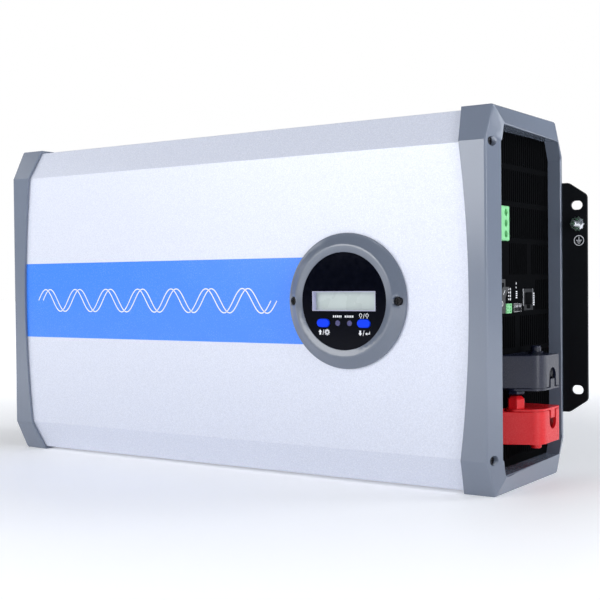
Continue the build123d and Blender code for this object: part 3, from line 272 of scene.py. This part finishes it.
for name, node in frame["nodes"].items():
    dress(node, materials[slot_of[name]])


# ---------------------------------------------------------------- mesh helpers
def finish_piece(name, mesh, body, material, sharp=32.0):
    """Smooth shading with crisp edges, a material, and the body that the piece moves with."""
    mesh.shade_smooth()
    mesh.set_sharp_from_angle(angle=radians(sharp))
    piece = bpy.data.objects.new(name, mesh)
    bpy.context.scene.collection.objects.link(piece)
    dress(piece, material)
    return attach(piece, body)


def long_sharp_edges(bm, angle, length):
    """Edges that are longer than length and whose two faces turn by more than angle degrees."""
    return [
        edge
        for edge in bm.edges
        if len(edge.link_faces) == 2
        and edge.calc_face_angle(0.0) > radians(angle)
        and edge.calc_length() > length * MM
    ]


WELD = 0.002  # points closer than this become one
FLAT_ENOUGH = radians(0.4)  # faces that turn by less than this are joined
BEVEL_STEPS = 4


def merged_faces(node):
    """The node's mesh with its triangles joined into flat faces."""
    bm = bmesh.new()
    bm.from_mesh(frame["nodes"][node].data)
    bmesh.ops.remove_doubles(bm, verts=bm.verts, dist=WELD * MM)
    bmesh.ops.dissolve_limit(bm, angle_limit=FLAT_ENOUGH, verts=bm.verts, edges=bm.edges)
    return bm


def rounded(node, rounds, sharp=32.0):
    """A copy of a CAD node with rounded edges, which stands for that node.

    rounds lists (radius, smallest turn in degrees, shortest edge, test of the edge's middle).
    On a thin sheet the radius stays well below its thickness, or the faces overlap."""
    bm = merged_faces(node)
    for radius, angle, length, wanted in rounds:
        edges = [
            edge
            for edge in long_sharp_edges(bm, angle, length)
            if wanted((edge.verts[0].co + edge.verts[1].co) / (2 * MM))
        ]
        bmesh.ops.bevel(
            bm, geom=edges, offset=radius * MM, offset_type="OFFSET",
            segments=BEVEL_STEPS, profile=0.5,
            affect="EDGES", clamp_overlap=False, miter_outer="ARC", harden_normals=False,
        )
    mesh = bpy.data.meshes.new(node + "_shell")
    bm.to_mesh(mesh)
    bm.free()
    piece = finish_piece(node + "_shell", mesh, body_of_node[node], materials[slot_of[node]], sharp)
    flatten = piece.modifiers.new("weighted", "WEIGHTED_NORMAL")
    flatten.keep_sharp = True
    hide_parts(node)
    return piece


def anywhere(middle):
    return True


# ---------------------------------------------------------------- casing
REAR_EDGES_Y = -20.0  # the caps' rear corners lie behind this
REAR_EDGES_Z = 115.0  # and further than this from the middle
CAP_COLLAR_X = 190.5  # the caps' outer edges lie beyond this
FOLDS_Y = -60.0  # the cover's folds lie in front of this

for side, sign in (("left", -1), ("right", 1)):
    rounded(
        f"end_cap_{side}",
        [
            (2.5, 40, 15.0, lambda m: m.y > REAR_EDGES_Y and abs(m.z) > REAR_EDGES_Z),
            (0.9, 15, 14.0, lambda m, s=sign: s * m.x > CAP_COLLAR_X),
        ],
        sharp=22.0,
    )
rounded("front_cover", [(0.4, 15, 60.0, lambda m: m.y < FOLDS_Y)])
rounded("display_bezel", [], sharp=28.0)

# ---------------------------------------------------------------- moulded terminal covers
for pole in ("positive", "negative"):
    rounded(f"terminal_body_{pole}", [(0.5, 40, 2.5, anywhere)])
    rounded(f"terminal_lid_{pole}", [(0.35, 40, 1.5, anywhere)])
    rounded(f"lid_knob_{pole}", [(0.5, 30, 1.2, anywhere)])
    rounded(f"terminal_base_{pole}", [(0.4, 40, 3.0, anywhere)])


# ---------------------------------------------------------------- prints
def on_front(face):
    """Places a drawing on a face that looks to the front: u is X, v is Z."""
    return lambda u, v, height: Vector((u, face - height, v)) * MM


def on_side(face):
    """Places a drawing on the right-hand end panel: u is Y, v is Z."""
    return lambda u, v, height: Vector((face + height, u, v)) * MM


def printed(name, outlines, place, material, body=CASING, thickness=INK):
    """Closed prisms of ink or film over the given outlines."""
    bm = bmesh.new()
    for outline in outlines:
        back = [bm.verts.new(place(u, v, 0.0)) for u, v in outline]
        front = [bm.verts.new(place(u, v, thickness)) for u, v in outline]
        bm.faces.new(back)
        bm.faces.new(front)
        for index in range(len(outline)):
            following = (index + 1) % len(outline)
            bm.faces.new((back[index], back[following], front[following], front[index]))
    bmesh.ops.recalc_face_normals(bm, faces=bm.faces)
    mesh = bpy.data.meshes.new(name)
    bm.to_mesh(mesh)
    bm.free()
    return finish_piece(name, mesh, body, material)


def bar(u, v, wide, tall, turn=0.0):
    c, s = cos(radians(turn)), sin(radians(turn))
    a, b = wide / 2, tall / 2
    corners = ((-a, -b), (a, -b), (a, b), (-a, b))
    return [(u + c * a - s * b, v + s * a + c * b) for a, b in corners]


def band(u, v, inner, outer, start, end, steps=24):
    """Part of a ring, from one angle to another in degrees."""
    angles = [radians(start + (end - start) * step / steps) for step in range(steps + 1)]
    rim = [(u + outer * cos(a), v + outer * sin(a)) for a in angles]
    return rim + [(u + inner * cos(a), v + inner * sin(a)) for a in reversed(angles)]


def ring(u, v, inner, outer):
    return [band(u, v, inner, outer, 0, 180), band(u, v, inner, outer, 180, 360)]


SLOPE_STEP = 0.01


def ribbon(curve, start, end, width, steps):
    """Outline of a line of even width along v = curve(u)."""
    left, right = [], []
    for step in range(steps + 1):
        u = start + (end - start) * step / steps
        slope = (curve(u + SLOPE_STEP) - curve(u - SLOPE_STEP)) / (2 * SLOPE_STEP)
        along = sqrt(1 + slope * slope)
        offset = (-slope * width / 2 / along, width / 2 / along)
        left.append((u + offset[0], curve(u) + offset[1]))
        right.append((u - offset[0], curve(u) - offset[1]))
    return left + right[::-1]


STRIPE_HALF = 28.0
STRIPE_START = -cap_high.x + 14.0
STRIPE_GAP = 0.02  # between the stripe and the bezel
ARC_HALF_STEPS = 12
ring_turn = atan2(STRIPE_HALF, sqrt(BEZEL_R**2 - STRIPE_HALF**2))
ring_edge = [
    (
        DISPLAY_X - (BEZEL_R + STRIPE_GAP) * cos(ring_turn * (1 - step / ARC_HALF_STEPS)),
        (BEZEL_R + STRIPE_GAP) * sin(ring_turn * (1 - step / ARC_HALF_STEPS)),
    )
    for step in range(2 * ARC_HALF_STEPS + 1)
]
stripe = [(STRIPE_START, -STRIPE_HALF), *reversed(ring_edge), (STRIPE_START, STRIPE_HALF)]
printed("front_stripe", [stripe], on_front(COVER_FACE), stripe_blue)

WAVE_START, WAVE_PERIOD, WAVES, WAVE_HEIGHT, WAVE_SHIFT = -174.0, 31.2, 7.0, 8.2, 4.8
WAVE_WIDTH = 0.75
WAVE_STEPS = 336
for number in (0, 1):
    first = WAVE_START + WAVE_SHIFT * number

    def wave(u, first=first):
        return WAVE_HEIGHT * sin(2 * pi * (u - first) / WAVE_PERIOD)

    line = ribbon(wave, first, first + WAVES * WAVE_PERIOD, WAVE_WIDTH, WAVE_STEPS)
    last = len(line) - 1
    strips = [
        [line[i], line[i + 1], line[last - 1 - i], line[last - i]] for i in range(WAVE_STEPS)
    ]
    on_stripe = on_front(COVER_FACE - INK)
    printed(f"front_wave_{number + 1}", strips, on_stripe, print_white, thickness=THIN_INK)


# ---------------------------------------------------------------- display prints
def arrow(u, v, direction):
    """Fat arrow that points up or down."""
    shape = [(-0.6, -1.6), (0.6, -1.6), (0.6, 0.1), (1.3, 0.1), (0, 1.7), (-1.3, 0.1), (-0.6, 0.1)]
    return [(u + a, v + direction * b) for a, b in shape]


def gear(u, v):
    teeth = [bar(u + 1.5 * cos(a), v + 1.5 * sin(a), 0.9, 0.8, turn=a * 180 / pi)
             for a in (2 * pi * tooth / 8 for tooth in range(8))]
    return ring(u, v, 0.65, 1.45) + teeth


def bulb(u, v):
    return [band(u, v + 0.5, 0.75, 1.1, -60, 240), bar(u, v - 0.75, 0.95, 0.3),
            bar(u, v - 1.3, 0.7, 0.3)]


def enter_sign(u, v):
    return [bar(u + 0.3, v - 0.6, 2.2, 0.55), bar(u + 1.3, v, 0.5, 1.6),
            [(u - 1.9, v - 0.6), (u - 0.5, v - 1.5), (u - 0.5, v + 0.3)]]


BELOW_Z, BELOW_RIGHT_Z = -19.6, -19.8  # signs below the buttons
LAMPS_Z = -9.2  # lamp signs above the right button
WORDS_Z = -9.6  # rows of bars above the indicators, in place of words
WORDS_X = (-4.4, 4.2)
WORD_PITCH = 1.35
SLANT = -14.0  # of the strokes between two signs, in degrees
icons = [
    arrow(DISPLAY_X - 17.2, BELOW_Z, 1), bar(DISPLAY_X - 14.8, BELOW_Z, 0.35, 3.4, turn=SLANT),
    *gear(DISPLAY_X - 12.0, BELOW_Z),
    arrow(DISPLAY_X + 12.2, BELOW_RIGHT_Z, -1),
    bar(DISPLAY_X + 14.6, BELOW_RIGHT_Z, 0.35, 3.4, turn=SLANT),
    *enter_sign(DISPLAY_X + 17.6, BELOW_Z),
    *bulb(DISPLAY_X + 12.6, LAMPS_Z), bar(DISPLAY_X + 14.9, LAMPS_Z, 0.3, 3.0, turn=SLANT),
    *bulb(DISPLAY_X + 17.2, LAMPS_Z),
]
for offset in WORDS_X:
    icons += [
        bar(DISPLAY_X + offset + WORD_PITCH * step, WORDS_Z, 0.8, 1.3) for step in (-2, -1, 0, 1, 2)
    ]
printed("display_marks", icons, on_front(LENS_FACE), print_white, thickness=LENS_INK)

WINDOW = (46.4, 12.4)
GUIDE_WALL = 0.5
GUIDE_GAP = 0.2  # the frame stays this far behind the lens face
guide_depth = LCD_FACE - LENS_FACE - GUIDE_GAP
guide = [
    bar(DISPLAY_X, side * (WINDOW[1] - GUIDE_WALL) / 2, WINDOW[0], GUIDE_WALL) for side in (-1, 1)
] + [
    bar(DISPLAY_X + side * (WINDOW[0] - GUIDE_WALL) / 2, 0, GUIDE_WALL, WINDOW[1] - 2 * GUIDE_WALL)
    for side in (-1, 1)
]
printed("display_window_frame", guide, on_front(LCD_FACE), guide_white, thickness=guide_depth)

# ---------------------------------------------------------------- port prints
# Plain bars in place of the words beside the ports.
PIN_ROWS_Z, PIN_PITCH = 0.2, 2.1
jack_mark_z = (jack_low.z + jack_high.z) / 2 + 1.5
marks = []
for row in range(4):
    marks.append(bar(-72.2, PIN_ROWS_Z + PIN_PITCH * row, 1.4, 1.0))
    marks.append(bar(-69.6, PIN_ROWS_Z + PIN_PITCH * row, 1.0, 1.5))
marks += [bar(-60.0, 1.0 + 1.25 * step, 2.3, 0.8) for step in range(4)]
marks += [bar(-60.6, 7.4, 0.9, 1.1), bar(-60.4, 10.0, 0.9, 1.4)]
marks += [bar(-31.4, -4.0 + 1.45 * step, 1.9, 1.0) for step in range(6)]
marks += [bar(jack_low.y - 0.5, jack_mark_z, 0.45, 11.0),
          bar(jack_high.y + 0.6, jack_mark_z, 0.45, 11.0)]
printed("port_marks", marks, on_side(PANEL_FACE), print_white, thickness=THIN_INK)

rocker_axis = Vector(next(j["pos_m"] for j in frame["joints"] if j["name"] == "power_rocker")) / MM
ROCKER_TILT = radians(12.0)
ROCKER_FACE = (4.5, 1.2, 7.1)  # middle of the face, how far its ends stand out, and half its height


def on_rocker(half):
    """Places a drawing on the upper (half = 1) or lower (half = -1) face of the rocker."""
    middle, rise, half_height = ROCKER_FACE
    slope = sqrt(rise * rise + half_height * half_height)
    along = (half * rise / slope, half_height / slope)
    out = (half_height / slope, -half * rise / slope)

    def place(u, v, height):
        x = middle + along[0] * v + out[0] * height
        z = along[1] * v + out[1] * height
        return (rocker_axis + Vector((x * cos(ROCKER_TILT) + z * sin(ROCKER_TILT), u,
                                      z * cos(ROCKER_TILT) - x * sin(ROCKER_TILT)))) * MM

    return place


printed("rocker_mark_on", [bar(0, 3.6, 0.7, 3.0)], on_rocker(1), print_white, "rocker_body")
printed("rocker_mark_off", ring(0, -3.6, 1.15, 1.65), on_rocker(-1), print_white, "rocker_body")

EARTH_SIGN = (210.0, 38.0)
earth = ring(*EARTH_SIGN, 3.0, 3.5) + [
    bar(EARTH_SIGN[0], EARTH_SIGN[1] + 1.3, 0.55, 2.4),
    bar(EARTH_SIGN[0], EARTH_SIGN[1] + 0.1, 3.8, 0.55),
    bar(EARTH_SIGN[0], EARTH_SIGN[1] - 0.9, 2.6, 0.5),
    bar(EARTH_SIGN[0], EARTH_SIGN[1] - 1.8, 1.4, 0.5),
]
printed("earth_symbol", earth, on_front(TAB_FACE), print_white)

# ---------------------------------------------------------------- stage: floor, lights, camera
FLOOR_METRES = 12.0
bpy.ops.mesh.primitive_plane_add(size=FLOOR_METRES, location=(0, 0, FLOOR_Z * MM))
floor = bpy.context.object
floor.name = "floor"
dress(floor, floor_pale)


def softbox(name, place, aim, size, power, colour=(1.0, 1.0, 1.0)):
    """A rectangular light. Place, aim and size are in metres, power in watts."""
    light = bpy.data.lights.new(name, "AREA")
    light.shape = "RECTANGLE"
    light.size, light.size_y = size
    light.energy = power
    light.color = colour
    lamp = bpy.data.objects.new(name, light)
    bpy.context.scene.collection.objects.link(lamp)
    lamp.location = place
    lamp.rotation_euler = (Vector(aim) - Vector(place)).to_track_quat("-Z", "Y").to_euler()


softbox("key", (-0.66, -1.68, 0.63), (0.0, -0.12, 0.1), (1.1, 1.1), 15.0)
softbox("left_strip", (-1.5, -0.7, 0.5), (-0.1, -0.1, 0.0), (0.5, 1.2), 2.5)
softbox("right_edge", (1.3, 0.75, 0.7), (0.2, -0.05, 0), (0.7, 1.2), 9.0, (0.92, 0.95, 1.0))
softbox("side_strip", (1.6, -0.50, 0.40), (0.2, -0.06, 0), (0.35, 1.2), 10.0, (0.95, 0.97, 1.0))
softbox("top", (0.0, 0.25, 1.7), (0, 0.05, 0), (2.4, 0.8), 2.5)

# The studio is a white wall behind the object, to the left, and dim everywhere else.
WALL_DIRECTION = (-0.55, 0.835, 0.0)
WALL_EDGE = (0.80, 0.92)  # how closely a direction matches that one where dim turns to white
DIM, WHITE = (0.19, 0.205, 0.235), (1.0, 1.0, 1.0)
world = bpy.data.worlds.new("studio")
bpy.context.scene.world = world
world.use_nodes = True
sky_nodes, sky_links = world.node_tree.nodes, world.node_tree.links
direction = sky_nodes.new("ShaderNodeTexCoord")
toward_wall = sky_nodes.new("ShaderNodeVectorMath")
toward_wall.operation = "DOT_PRODUCT"
toward_wall.inputs[1].default_value = WALL_DIRECTION
sky_links.new(direction.outputs["Generated"], toward_wall.inputs[0])
sky = two_tone(sky_nodes, sky_links, toward_wall.outputs["Value"], DIM, WHITE, *WALL_EDGE)
sky_links.new(sky, sky_nodes["Background"].inputs["Color"])

EYE = Vector((465.15, -715.99, 12.57)) * MM
YAW, PITCH, ROLL = 0.5908, 0.0168, -0.00986  # radians
SENSOR_WIDTH, FOCAL_LENGTH = 36.0, 66.3
ahead = Vector((-sin(YAW) * cos(PITCH), cos(YAW) * cos(PITCH), -sin(PITCH)))
level = Vector((cos(YAW), sin(YAW), 0.0))
upward = level.cross(ahead)
across = level * cos(ROLL) + upward * sin(ROLL)
above = upward * cos(ROLL) - level * sin(ROLL)
camera_data = bpy.data.cameras.new("camera")
camera_data.sensor_width = SENSOR_WIDTH
camera_data.lens = FOCAL_LENGTH
camera_data.clip_start = 0.01
camera = bpy.data.objects.new("camera", camera_data)
bpy.context.scene.collection.objects.link(camera)
turn = Matrix((across, above, -ahead)).transposed()
camera.matrix_world = Matrix.Translation(EYE) @ turn.to_4x4()
bpy.context.scene.camera = camera
bpy.context.scene.view_settings.view_transform = "Standard"
